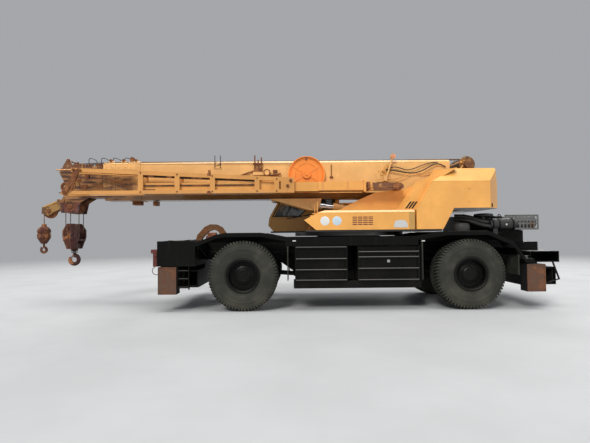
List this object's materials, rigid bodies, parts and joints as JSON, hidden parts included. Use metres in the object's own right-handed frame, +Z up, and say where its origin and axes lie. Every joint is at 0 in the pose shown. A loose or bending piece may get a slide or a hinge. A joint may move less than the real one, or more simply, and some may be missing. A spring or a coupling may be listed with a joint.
{
  "type": "rough-terrain mobile crane",
  "caption": "Two-axle rough-terrain mobile crane with telescopic boom, side-stowed jib, slewing cab and sideways outriggers.",
  "frame": {"origin": "on the ground, under the slewing axis, midway between the two axles", "axes": "+X forwards along the parked boom, +Y to the crane's left, +Z up"},
  "size_m": [12.0072, 2.98, 3.5],
  "materials": {
    "tyre": "worn, dusty",
    "rim_paint": "worn satin paint",
    "carrier_paint": "dusty near-black paint",
    "axle_iron": "oily cast iron",
    "rust_paint": "brown paint rusted through",
    "steel": "worn steel",
    "rod_chrome": "hard-chromed rod",
    "yellow_paint": "sun-faded yellow-orange gloss paint",
    "orange_paint": "orange paint",
    "grey_paint": "dull grey paint",
    "glass": "tinted glass",
    "seat_cloth": "black cloth",
    "cab_plastic": "matte black plastic",
    "rope": "greased wire rope"
  },
  "bodies": {
    "carrier": {"chassis_frame": "carrier_paint", "outrigger_boxes": "carrier_paint", "axles": "axle_iron", "springs": "axle_iron", "drive_line": "axle_iron", "fenders": "carrier_paint", "front_body": "carrier_paint", "side_boxes": "carrier_paint", "bumpers": "carrier_paint", "hook_rest": "rust_paint", "engine_block": "axle_iron", "engine_hood": "carrier_paint", "air_cleaner": "cab_plastic", "muffler": "grey_paint"},
    "knuckle_fl": {"knuckle_fl": "axle_iron"},
    "wheel_fl": {"tyre_fl": "tyre", "rim_fl": "rim_paint"},
    "outrigger_fl": {"outrigger_fl": "rust_paint"},
    "jack_fl": {"jack_fl": "steel"},
    "knuckle_fr": {"knuckle_fr": "axle_iron"},
    "wheel_fr": {"tyre_fr": "tyre", "rim_fr": "rim_paint"},
    "outrigger_fr": {"outrigger_fr": "rust_paint"},
    "jack_fr": {"jack_fr": "steel"},
    "knuckle_rl": {"knuckle_rl": "axle_iron"},
    "wheel_rl": {"tyre_rl": "tyre", "rim_rl": "rim_paint"},
    "outrigger_rl": {"outrigger_rl": "rust_paint"},
    "jack_rl": {"jack_rl": "steel"},
    "knuckle_rr": {"knuckle_rr": "axle_iron"},
    "wheel_rr": {"tyre_rr": "tyre", "rim_rr": "rim_paint"},
    "outrigger_rr": {"outrigger_rr": "rust_paint"},
    "jack_rr": {"jack_rr": "steel"},
    "superstructure": {"slew_frame": "yellow_paint", "side_hood": "yellow_paint", "right_tank": "yellow_paint", "rear_hoods": "yellow_paint", "counterweight": "yellow_paint", "winches": "rust_paint", "cab_shell": "yellow_paint", "cab_glass": "glass", "cab_seat": "seat_cloth", "cab_controls": "cab_plastic"},
    "cab_door": {"cab_door": "yellow_paint", "cab_door_glass": "glass"},
    "luff_tubes": {"luff_tubes": "yellow_paint"},
    "luff_rods": {"luff_rods": "rod_chrome"},
    "boom_base": {"boom_base": "yellow_paint", "hose_reel": "orange_paint", "jib_frame": "yellow_paint", "jib_tube": "yellow_paint"},
    "boom_section_2": {"boom_section_2": "yellow_paint"},
    "boom_section_3": {"boom_section_3": "yellow_paint"},
    "boom_head": {"boom_head": "yellow_paint", "head_sheaves": "rust_paint"},
    "hook_block": {"hook_block": "rust_paint", "rope_falls": "rope"},
    "main_hook": {"main_hook": "rust_paint"},
    "aux_hook": {"aux_hook": "rust_paint"}
  },
  "joints": [
    {"name": "steer_fl", "type": "hinge", "parent": "carrier", "child": "knuckle_fl", "pos_m": [2.4, 0.925, 0.745], "axis": [0, 0, 1], "range_deg": [-26, 26]},
    {"name": "wheel_fl_spin", "type": "hinge", "parent": "knuckle_fl", "child": "wheel_fl", "pos_m": [2.4, 1.23, 0.745], "axis": [0, 1, 0], "continuous": true},
    {"name": "outrigger_fl_slide", "type": "slide", "parent": "carrier", "child": "outrigger_fl", "axis": [0, 1, 0], "range_m": [0, 1.95]},
    {"name": "jack_fl_slide", "type": "slide", "parent": "outrigger_fl", "child": "jack_fl", "axis": [0, 0, -1], "range_m": [0, 0.43]},
    {"name": "steer_fr", "type": "hinge", "parent": "carrier", "child": "knuckle_fr", "pos_m": [2.4, -0.925, 0.745], "axis": [0, 0, 1], "range_deg": [-26, 26]},
    {"name": "wheel_fr_spin", "type": "hinge", "parent": "knuckle_fr", "child": "wheel_fr", "pos_m": [2.4, -1.23, 0.745], "axis": [0, 1, 0], "continuous": true},
    {"name": "outrigger_fr_slide", "type": "slide", "parent": "carrier", "child": "outrigger_fr", "axis": [0, -1, 0], "range_m": [0, 1.95]},
    {"name": "jack_fr_slide", "type": "slide", "parent": "outrigger_fr", "child": "jack_fr", "axis": [0, 0, -1], "range_m": [0, 0.43]},
    {"name": "steer_rl", "type": "hinge", "parent": "carrier", "child": "knuckle_rl", "pos_m": [-2.4, 0.925, 0.745], "axis": [0, 0, -1], "range_deg": [-26, 26]},
    {"name": "wheel_rl_spin", "type": "hinge", "parent": "knuckle_rl", "child": "wheel_rl", "pos_m": [-2.4, 1.23, 0.745], "axis": [0, 1, 0], "continuous": true},
    {"name": "outrigger_rl_slide", "type": "slide", "parent": "carrier", "child": "outrigger_rl", "axis": [0, 1, 0], "range_m": [0, 1.95]},
    {"name": "jack_rl_slide", "type": "slide", "parent": "outrigger_rl", "child": "jack_rl", "axis": [0, 0, -1], "range_m": [0, 0.43]},
    {"name": "steer_rr", "type": "hinge", "parent": "carrier", "child": "knuckle_rr", "pos_m": [-2.4, -0.925, 0.745], "axis": [0, 0, -1], "range_deg": [-26, 26]},
    {"name": "wheel_rr_spin", "type": "hinge", "parent": "knuckle_rr", "child": "wheel_rr", "pos_m": [-2.4, -1.23, 0.745], "axis": [0, 1, 0], "continuous": true},
    {"name": "outrigger_rr_slide", "type": "slide", "parent": "carrier", "child": "outrigger_rr", "axis": [0, -1, 0], "range_m": [0, 1.95]},
    {"name": "jack_rr_slide", "type": "slide", "parent": "outrigger_rr", "child": "jack_rr", "axis": [0, 0, -1], "range_m": [0, 0.43]},
    {"name": "slew", "type": "hinge", "parent": "carrier", "child": "superstructure", "pos_m": [0, 0, 1.6], "axis": [0, 0, 1], "continuous": true},
    {"name": "cab_door_swing", "type": "hinge", "parent": "superstructure", "child": "cab_door", "pos_m": [0.6225, -1.435, 2.5], "axis": [0, 0, -1], "range_deg": [0, 80]},
    {"name": "luff", "type": "hinge", "parent": "superstructure", "child": "boom_base", "pos_m": [-2.15, 0, 2.9], "axis": [0, -1, 0], "range_deg": [0, 82]},
    {"name": "luff_tube_turn", "type": "hinge", "parent": "superstructure", "child": "luff_tubes", "pos_m": [-1.54, 0, 1.95], "axis": [0, -1, 0], "range_deg": [0, 75.61]},
    {"name": "luff_rod_slide", "type": "slide", "parent": "luff_tubes", "child": "luff_rods", "axis": [0.9888, 0, 0.1489], "range_m": [0, 1.442]},
    {"name": "boom_2_slide", "type": "slide", "parent": "boom_base", "child": "boom_section_2", "axis": [1, 0, 0], "range_m": [0, 6.4]},
    {"name": "boom_3_slide", "type": "slide", "parent": "boom_section_2", "child": "boom_section_3", "axis": [1, 0, 0], "range_m": [0, 6.4]},
    {"name": "boom_4_slide", "type": "slide", "parent": "boom_section_3", "child": "boom_head", "axis": [1, 0, 0], "range_m": [0, 6.4]},
    {"name": "hook_block_swing", "type": "hinge", "parent": "boom_head", "child": "hook_block", "pos_m": [6.665, 0, 2.33], "axis": [0, 1, 0], "range_deg": [0, 82]},
    {"name": "main_hook_swivel", "type": "hinge", "parent": "hook_block", "child": "main_hook", "pos_m": [6.665, 0, 1.2], "axis": [0, 0, 1], "continuous": true},
    {"name": "aux_hook_swing", "type": "hinge", "parent": "boom_head", "child": "aux_hook", "pos_m": [7.25, 0, 2.23], "axis": [0, 1, 0], "range_deg": [0, 82]}
  ],
  "couplings": [
    {"joint": "steer_fr", "follows": "steer_fl", "ratio": 1},
    {"joint": "steer_rr", "follows": "steer_rl", "ratio": 1},
    {"joint": "luff_tube_turn", "follows": "luff", "ratio": 0.92203},
    {"joint": "luff_rod_slide", "follows": "luff", "m_per_rad": 1.0073},
    {"joint": "boom_3_slide", "follows": "boom_2_slide", "ratio": 1},
    {"joint": "boom_4_slide", "follows": "boom_2_slide", "ratio": 1},
    {"joint": "hook_block_swing", "follows": "luff", "ratio": 1},
    {"joint": "aux_hook_swing", "follows": "luff", "ratio": 1}
  ]
}
